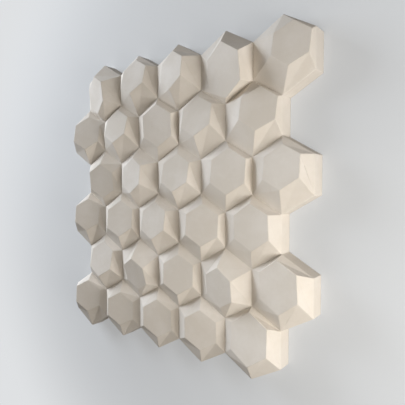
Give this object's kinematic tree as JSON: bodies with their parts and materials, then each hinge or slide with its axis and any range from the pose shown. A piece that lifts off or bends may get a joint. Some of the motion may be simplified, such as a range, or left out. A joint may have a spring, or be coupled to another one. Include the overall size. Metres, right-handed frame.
{
  "type": "3d wall panel tile",
  "caption": "Cast plaster wall tile of staggered hexagonal cells, each rising to a leaning flat crown over a flat back, with stepped interlocking edges.",
  "frame": {"origin": "middle of the tile's width and height, on its flat back", "axes": "+X along the rows of cells to the right, +Y up the wall, +Z out of the wall through the relief; the tile lies on its back"},
  "size_m": [0.5006, 0.4992, 0.055],
  "materials": {
    "plaster": "matte cast gypsum plaster, left uncoated"
  },
  "bodies": {
    "root": {"tile": "plaster"}
  },
  "joints": []
}
